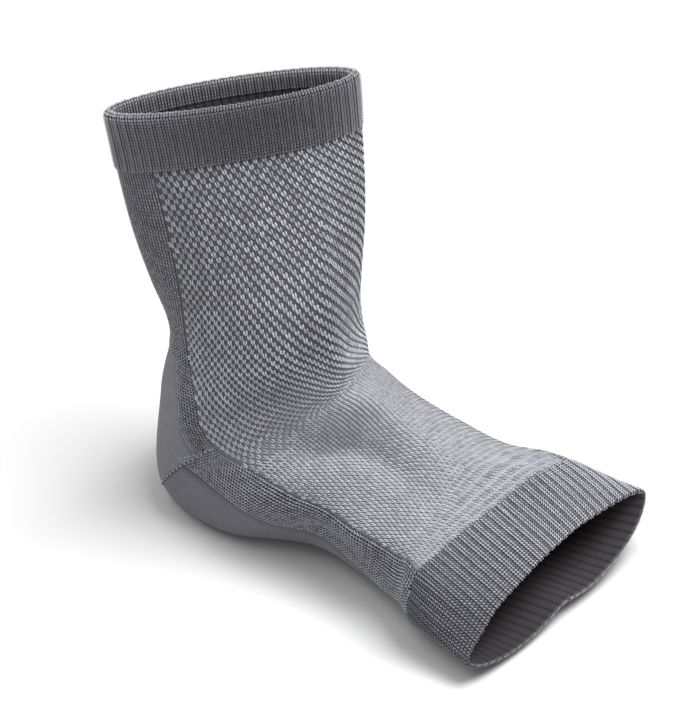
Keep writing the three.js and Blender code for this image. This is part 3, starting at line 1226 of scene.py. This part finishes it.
@dataclass
class MeshPanel(Part):
    """The two-tone panel over the shin and instep: light stitches on a ground that pales downwards,
    and is painted paler along the front line from the ankle down as painted light.

    On the leg they lie in a checker, and their courses climb towards the front, by up to slant
    stations on either side of a line slant_middle behind the front. On the foot they fill every
    cell, and over the front of it they are lower and darkened with painted shade.
    """

    form: SleeveForm
    node: str = "mesh_panel"
    slot: str = "mesh_knit"
    wall: float = 1.6
    pitch: float = 1.5
    half_girth: float = 80.0
    courses: int = 102
    ruler: float = -0.85
    ruler_samples: int = 1201
    samples: int = 401
    columns: int = 104
    rows: int = 120
    slant: float = 0.42
    slant_end: float = 5.65
    slant_middle: float = 35.0
    slant_reach: float = 45.0
    leg_tilt: float = 14.0
    foot_tilt: float = 38.0
    leg_width: float = 1.4
    foot_width: float = 0.78
    leg_length: float = 1.05
    foot_length: float = 1.05
    leg_depth: float = 1.0
    foot_depth: float = 0.65
    front_depth: float = 0.4
    # Painted shade on the stitches over the front of the foot.
    painted_shade_front: float = 0.22
    uneven: float = 0.12
    foot_start: float = 6.0
    foot_blend: float = 1.2
    fill_range: tuple[float, float] = (0.35, 0.65)
    tones: tuple[float, float] = (0.0, 0.55)
    lower_start: float = 2.6
    lower_blend: float = 2.0
    lower_tone: float = 0.28
    pale_start: float = 3.3
    pale_blend: float = 2.7
    pale_sides: float = 0.3
    pale_reach: float = 8.0
    # Painted light along the front line: the station where it starts and its reach in degrees.
    painted_light_start: float = 2.3
    painted_light_reach: float = 24.0
    front_tilt: float = 8.0
    turn_start: float = -50.0
    turn_blend: float = 60.0

    def course_stations(self, count: int) -> np.ndarray:
        """Stations that divide the panel evenly along a line on its near side.

        Args:
            count: how many courses they divide it into.

        Returns:
            The stations of the courses' ends, one more than there are courses.
        """
        fine = np.linspace(Station.CUFF_BASE.value, Station.TOE_BASE.value, self.ruler_samples)
        reached = run_length(self.form.point(fine, self.form.edge(fine) * self.ruler))
        return np.interp(np.linspace(0, reached[-1], count + 1), reached, fine)

    def build(self) -> None:
        """Makes the ground and the light stitches on it."""
        stations = self.course_stations(self.rows)
        edge = self.form.edge(stations)
        ends = self.form.lengths_at(stations, np.stack([-edge, edge], axis=1))
        lengths = mix(ends[:, :1], ends[:, 1:], np.linspace(0, 1, self.columns + 1)[None])
        angles = self.form.angles_at(stations, lengths)
        points, out, _ = self.form.frame(np.broadcast_to(stations[:, None], angles.shape), angles)
        course = np.linspace(0, 2 * self.courses, self.rows + 1)[:, None]
        lower = np.clip((stations - self.pale_start) / self.pale_blend, 0, 1)[:, None]
        # Painted light: the ground is paler along the front line from the ankle down, where the front
        # turns up to the lamp.
        front = np.exp(-((np.degrees(angles) / self.painted_light_reach) ** 2))
        front = front * np.clip(stations - self.painted_light_start, 0, 1)[:, None]
        pale = np.maximum(lower * mix(self.pale_sides, 1.0, np.cos(angles) ** 2), front)
        wale = lengths / self.pitch + 0.5
        knit = np.stack([wale, np.broadcast_to(course, wale.shape), pale * self.pale_reach], axis=-1)
        draft = MeshDraft()
        draft.shell(points, points - out * self.wall, knit)
        self.settle(draft.piece("mesh_panel_ground", (GROUND_YARN, INSIDE_YARN_AND_SHADE)), replaces=True)
        bed, station = self.bed()
        on_foot = station > self.foot_start
        for name, shape, keep in (("leg", MESH_STITCH, ~on_foot), ("foot", FOOT_STITCH, on_foot)):
            stitches = shape.grow(f"mesh_panel_{name}_stitches", bed.kept(keep), LIGHT_YARN)
            self.settle(stitches, replaces=False)

    def slanted(self, station: np.ndarray, length: np.ndarray) -> np.ndarray:
        """Moves level courses so that they climb towards the front.

        Args:
            station: the level courses' places along the tube.
            length: millimetres round the tube from its front line.

        Returns:
            The climbing courses' places along the tube.
        """
        span = (station - Station.CUFF_BASE.value) / (self.slant_end - Station.CUFF_BASE.value)
        climb = self.slant * np.sin(np.pi * np.clip(span, 0, 1))
        return station - climb * np.tanh((length + self.slant_middle) / self.slant_reach)

    def bed(self) -> tuple[StitchBed, np.ndarray]:
        """Where the light stitches lie.

        Returns:
            A bed with a stitch in every other cell of the leg and in every cell of the foot, inside
            the panel's edges, and their stations.
        """
        reach = int(self.half_girth / self.pitch)
        wales = np.arange(-reach, reach + 1)
        lengths = np.repeat(wales[None] * self.pitch, self.courses, axis=0)
        fine = np.linspace(Station.CUFF_BASE.value, Station.TOE_BASE.value, self.samples)
        table = self.form.angles_at(fine, np.repeat(wales[None] * self.pitch, len(fine), axis=0))
        edge = self.form.edge(fine)
        ends = self.form.lengths_at(fine, np.stack([-edge, edge], axis=1))

        def angles(station: np.ndarray) -> np.ndarray:
            """The angle of each wale at its own stations."""
            columns = [np.interp(wale, fine, column) for wale, column in zip(station.T, table.T)]
            return np.stack(columns, axis=1)

        bounds = self.course_stations(2 * self.courses)
        tops, middle, feet = (
            self.slanted(np.repeat(line[:, None], len(wales), axis=1), lengths)
            for line in (bounds[:-1:2], bounds[1::2], bounds[2::2])
        )
        rise = self.form.point(tops, angles(tops)) - self.form.point(feet, angles(feet))
        points, out, _ = self.form.frame(middle, angles(middle))
        height = np.linalg.norm(rise, axis=-1)
        to_front = np.clip((np.degrees(angles(middle)) - self.turn_start) / self.turn_blend, 0, 1)
        on_foot = np.clip((middle - self.foot_start + to_front) / self.foot_blend, 0, 1)
        foot_tilt = self.foot_tilt + self.front_tilt * to_front
        draws = np.random.default_rng(SEED + 4).uniform(-self.uneven, self.uneven, (3, *height.shape))
        tilt = np.radians(mix(self.leg_tilt, foot_tilt, on_foot))[..., None] + draws[0][..., None]
        up = unit(rise) * np.cos(tilt) + unit(np.cross(out, rise)) * np.sin(tilt)
        near = np.interp(middle, fine, ends[:, 0]) + 0.5 * self.pitch
        far = np.interp(middle, fine, ends[:, 1]) - 0.5 * self.pitch
        along = (middle > Station.CUFF_BASE.value) & (middle < Station.TOE_BASE.value)
        checker = (wales[None] + np.arange(self.courses)[:, None]) % 2 == 0
        filled = np.random.default_rng(SEED + 5).uniform(*self.fill_range, height.shape) < on_foot
        keep = (lengths > near) & (lengths < far) & along & (checker | filled)
        width = mix(self.leg_width, self.foot_width, on_foot) * (1 + draws[1])
        length = height * mix(self.leg_length, self.foot_length, on_foot) * (1 + draws[2])
        on_front = on_foot * to_front**2
        depth = mix(mix(self.leg_depth, self.foot_depth, on_foot), self.front_depth, on_front)
        cell = np.stack([width, length, depth], axis=-1)
        lower = np.clip((middle - self.lower_start) / self.lower_blend, 0, 1)
        tone = np.random.default_rng(SEED + 1).uniform(*self.tones, height.shape)
        # Stitches pale downwards, and painted shade darkens them over the front of the foot.
        tone = tone + self.lower_tone * lower - self.painted_shade_front * on_front
        return StitchBed(points, out, up, cell, tone).kept(keep), middle[keep]


@dataclass
class PlainZone(Part):
    """Plain knit behind and below the mesh panel, between two lines across the back of the tube."""

    form: SleeveForm
    node: str
    slot: str
    finish: Finish
    starts: tuple[float, float]
    ends: tuple[float, float]
    wall: float
    columns: int
    rows: int
    wale: float = 1.15
    course: float = 1.05
    stitches: tuple[int, int] = (0, 0)
    stitch_depth: float = 0.8
    samples: int = 801

    def line(self, share: float, across: np.ndarray) -> tuple[np.ndarray, np.ndarray]:
        """Stations and angles along one line across the zone.

        Args:
            share: how far the line is from the zone's start to its end.
            across: places across the back, from 0 to 1.

        Returns:
            The station and the angle at each place.
        """
        to_back = np.sin(np.pi * across)
        station = mix(mix(*self.starts, to_back), mix(*self.ends, to_back), share)
        edge = self.form.edge(station)
        return station, mix(edge, 2 * np.pi - edge, across)

    def even_line(self, share: float) -> tuple[np.ndarray, np.ndarray, np.ndarray]:
        """Evenly spaced places along one line across the zone.

        Args:
            share: how far the line is from the zone's start to its end.

        Returns:
            The stations, the angles, and the lengths from the line's start.
        """
        fine = np.linspace(0, 1, self.samples)
        reached = run_length(self.form.point(*self.line(share, fine)))
        even = np.linspace(0, reached[-1], self.columns + 1)
        return (*self.line(share, np.interp(even, reached, fine)), even)

    def build(self) -> None:
        """Makes the zone's two skins, and stitches all over it where it has them."""
        lines = [self.even_line(share) for share in np.linspace(0, 1, self.rows + 1)]
        station, angle, length = (np.stack(column) for column in zip(*lines))
        points, out, _ = self.form.frame(station, angle)
        course = run_length(points) / self.course
        from_edge = np.minimum(length, length[:, -1:] - length)
        knit = np.stack([from_edge / self.wale, course, from_edge], axis=-1)
        draft = MeshDraft()
        draft.shell(points, points - out * self.wall, knit)
        self.settle(draft.piece(f"{self.node}_knit", (self.finish, INSIDE_YARN_AND_SHADE)), replaces=True)
        if all(self.stitches):
            stitches = KNIT_STITCH.grow(f"{self.node}_stitches", self.bed(), PLAIN_STITCH_YARN)
            self.settle(stitches, replaces=False)

    def bed(self) -> StitchBed:
        """Where the zone's stitches lie.

        Returns:
            A bed with even wales and courses all over the zone.
        """
        wales, courses = self.stitches
        even = replace(self, columns=2 * wales)
        lines = [even.even_line(share) for share in (np.arange(courses) + 0.5) / courses]
        station, angle, length = (np.stack(column)[:, 1::2] for column in zip(*lines))
        points, out, along = self.form.frame(station, angle)
        pitch = np.gradient(length, axis=1)
        course = np.linalg.norm(np.gradient(points, axis=0), axis=-1)
        cell = np.stack([pitch, course, np.full_like(pitch, self.stitch_depth)], axis=-1)
        tone = np.random.default_rng(SEED + 2).uniform(*PLAIN_TONES, pitch.shape)
        everywhere = np.ones(pitch.shape, bool)
        return StitchBed(points, out, -along, cell, tone).kept(everywhere)


@dataclass
class PlainBand(Part):
    """Rows of small stitches that follow both edges of the mesh panel along a stretch of the tube."""

    form: SleeveForm
    node: str
    slot: str
    start: float
    end: float
    rows: int = 7
    pitch: float = 1.45
    course: float = 1.2
    stitch_depth: float = 0.8
    samples: int = 401

    def build(self) -> None:
        """Lays the stitches."""
        stitches = KNIT_STITCH.grow(f"{self.node}_stitches", self.bed(), PLAIN_STITCH_YARN)
        self.settle(stitches, replaces=False)

    def bed(self) -> StitchBed:
        """Where the stitches lie.

        Returns:
            A bed with evenly spaced stitches along every row.
        """
        fine = np.linspace(self.start, self.end, self.samples)
        edge = self.form.edge(fine)
        ends = self.form.lengths_at(fine, np.stack([-edge, edge], axis=1))
        away = (np.arange(self.rows) + 0.5) * self.pitch
        lengths = np.concatenate([ends[:, :1] - away, ends[:, 1:] + away], axis=1)
        angles = self.form.angles_at(fine, lengths)
        reached = run_length(self.form.point(fine[:, None], angles))
        stations = []
        turns = []
        for length, angle in zip(reached.T, angles.T):
            middles = np.arange(self.course / 2, length[-1], self.course)
            stations.append(np.interp(middles, length, fine))
            turns.append(np.interp(stations[-1], fine, angle))
        points, out, along = self.form.frame(np.concatenate(stations), np.concatenate(turns))
        cell = np.tile((self.pitch, self.course, self.stitch_depth), (len(points), 1))
        tone = np.random.default_rng(SEED + 3).uniform(*PLAIN_TONES, len(points))
        return StitchBed(points, out, -along, cell, tone)


@dataclass
class HeelTurn(Part):
    """The row of fashioning marks where the heel pocket turns from the leg to the sole."""

    form: SleeveForm
    zone: PlainZone
    node: str = "heel_cup"
    slot: str = "heel_knit"
    pitch: float = 1.25
    size: float = 1.0
    light_tone: float = 0.95
    dark_tone: float = 0.0
    samples: int = 1601
    step: float = 0.002

    def build(self) -> None:
        """Lays alternate light and dark marks along the turn, on either side of the foot."""
        fine = np.linspace(0, 1, self.samples)
        reached = run_length(self.form.point(*self.zone.line(1.0, fine)))
        middles = np.arange(self.pitch, reached[-1] - self.pitch, self.pitch)
        share = np.interp(middles, reached, fine)
        points, out, _ = self.form.frame(*self.zone.line(1.0, share))
        ahead = self.form.point(*self.zone.line(1.0, share + self.step)) - points
        up = unit(np.cross(out, ahead))
        cell = np.full((len(points), 3), self.size)
        tone = np.where(np.arange(len(points)) % 2 == 0, self.light_tone, self.dark_tone)
        bed = StitchBed(points, out, up, cell, tone)
        self.settle(MARK_STITCH.grow("heel_turn_marks", bed, MARK_YARN), replaces=False)


# The studio


@dataclass(frozen=True)
class FloorPaint(Finish):
    """A plain pale floor with the faintest unevenness."""

    cloud_scale: float = 3.0

    def pattern(self, kit: NodeKit, place: bpy.types.NodeSocket) -> tuple[Given, Value]:
        """The colour and the height of the surface."""
        cloud = self.cloud(kit, place, self.cloud_scale)
        return kit.blend(cloud, self.gap, self.yarn), cloud


@dataclass(frozen=True)
class SoftLight:
    """A square studio light, aimed at the sleeve."""

    name: str
    place: Triple
    size: float
    power: float

    def build(self, aim: Vector) -> None:
        """Hangs the light.

        Args:
            aim: the point that it faces.
        """
        lamp = bpy.data.lights.new(self.name, "AREA")
        lamp.size = self.size
        lamp.energy = self.power
        made = bpy.data.objects.new(self.name, lamp)
        made.location = self.place
        made.rotation_euler = (aim - Vector(self.place)).to_track_quat("-Z", "Y").to_euler()
        bpy.context.scene.collection.objects.link(made)


@dataclass
class Studio:
    """The floor, the light and the camera."""

    azimuth: float = -57.8
    elevation: float = 40.0
    lens: float = 150.0
    sensor: float = 36.0
    clip: tuple[float, float] = (0.05, 20.0)
    distance: float = 1.0056
    aim: Triple = (0.001029, -0.004046, 0.070)
    aside: float = -0.00667
    lifted: float = 0.00333
    floor_size: float = 6.0
    floor_drop: float = 0.0002
    ambient: float = 0.28
    lights: tuple[SoftLight, ...] = (
        SoftLight("key_light", (0.34, -0.36, 1.40), 0.9, 35.5),
        SoftLight("front_light", (-0.9, -0.2, 1.1), 1.0, 2.0),
        SoftLight("back_light", (-0.5, 0.55, 1.45), 1.0, 9.0),
    )
    paint: FloorPaint = FloorPaint(
        "pale_floor", (0.62, 0.62, 0.62), (0.61, 0.61, 0.61), relief=0.02, sheen=0.0
    )

    def build(self) -> None:
        """Sets up everything round the sleeve."""
        scene = bpy.context.scene
        scene.view_settings.view_transform = "Standard"
        world = bpy.data.worlds.new("studio")
        scene.world = world
        world.use_nodes = True
        sky = world.node_tree.nodes["Background"].inputs
        sky["Color"].default_value = (1.0, 1.0, 1.0, 1.0)
        sky["Strength"].default_value = self.ambient
        for light in self.lights:
            light.build(Vector(self.aim))
        self.lay_floor()
        self.set_camera()

    def lay_floor(self) -> None:
        """Lays the floor just under the sole."""
        half = self.floor_size / 2
        mesh = bpy.data.meshes.new("floor")
        corners = [(-half, -half), (half, -half), (half, half), (-half, half)]
        mesh.from_pydata([(x, y, -self.floor_drop) for x, y in corners], [], [(0, 1, 2, 3)])
        mesh.materials.append(self.paint.material())
        floor = bpy.data.objects.new("floor", mesh)
        bpy.context.scene.collection.objects.link(floor)

    def set_camera(self) -> None:
        """Puts the camera at the photograph's viewing angle."""
        azimuth = math.radians(self.azimuth)
        elevation = math.radians(self.elevation)
        flat = math.cos(elevation)
        back = Vector((math.sin(azimuth) * flat, -math.cos(azimuth) * flat, math.sin(elevation)))
        right = Vector((math.cos(azimuth), math.sin(azimuth), 0.0))
        up = back.cross(right)
        aim = Vector(self.aim) + right * self.aside + up * self.lifted
        lens = bpy.data.cameras.new("camera")
        lens.lens = self.lens
        lens.sensor_width = self.sensor
        lens.clip_start, lens.clip_end = self.clip
        camera = bpy.data.objects.new("camera", lens)
        turn = Matrix((right, up, back)).transposed().to_4x4()
        camera.matrix_world = Matrix.Translation(aim + back * self.distance) @ turn
        bpy.context.scene.collection.objects.link(camera)
        bpy.context.scene.camera = camera


def main() -> None:
    """Builds the studio and the sleeve's parts in order."""
    logging.basicConfig(level=logging.INFO, format="%(name)s: %(message)s")
    Studio().build()
    form = SleeveForm()
    heel = PlainZone(
        form,
        "heel_cup",
        "heel_knit",
        HEEL_YARN,
        starts=(Station.HEEL_START, Station.HEEL_START),
        ends=(Station.HEEL_TURN_AT_EDGE, Station.HEEL_TURN_AT_BACK),
        wall=2.0,
        columns=80,
        rows=50,
    )
    parts = (
        RibbedCuff(
            form,
            "ankle_cuff",
            "cuff_rib",
            base=Station.CUFF_BASE,
            rim=Station.CUFF_RIM,
            proud=0.5,
            finish=CUFF_YARN,
            stitch=CUFF_STITCH,
            inner=CUFF_INSIDE,
            wale_rise=(0.22, 0.0, 0.0),
            wale_tone=(1.0, 0.75, 0.75),
            rim_wall=2.7,
            # Painted shade on the cuff's right side.
            slack=0.72,
            painted_shade_reach=68.0,
        ),
        MeshPanel(form),
        PlainZone(
            form,
            "back_panel",
            "plain_knit",
            BACK_YARN,
            starts=(Station.CUFF_BASE, Station.CUFF_BASE),
            ends=(Station.HEEL_START, Station.HEEL_START),
            wall=1.5,
            columns=48,
            rows=80,
            stitches=(30, 60),
        ),
        heel,
        PlainBand(form, "heel_cup", "heel_knit", Station.HEEL_START, Station.HEEL_TURN_AT_EDGE),
        HeelTurn(form, heel),
        PlainZone(
            form,
            "sole_panel",
            "plain_knit",
            SOLE_YARN,
            starts=(Station.HEEL_TURN_AT_EDGE, Station.HEEL_TURN_AT_BACK),
            ends=(Station.TOE_BASE, Station.TOE_BASE),
            wall=1.5,
            columns=84,
            rows=100,
        ),
        PlainBand(
            form, "sole_panel", "plain_knit", Station.HEEL_TURN_AT_EDGE, Station.TOE_BASE, rows=13
        ),
        RibbedCuff(
            form,
            "toe_cuff",
            "toe_rib",
            base=Station.TOE_BASE,
            rim=Station.TOE_RIM,
            proud=0.2,
            finish=TOE_YARN,
            stitch=TOE_STITCH,
            inner=INSIDE_YARN_AND_SHADE,
            wale_rise=(-0.2, 0.05, 0.05),
            wale_tone=(0.1, 0.75, 0.75),
            # Painted shade on the cuff's right side.
            slack=0.95,
            painted_shade_reach=58.0,
            first_wale=0.5,
            rim_wall=1.5,
            rib=RibRelief(0.25, 3.0, 0.7),
            course=1.12,
            inner_courses=0,
        ),
    )
    for part in parts:
        part.build()


if __name__ == "__main__":
    main()
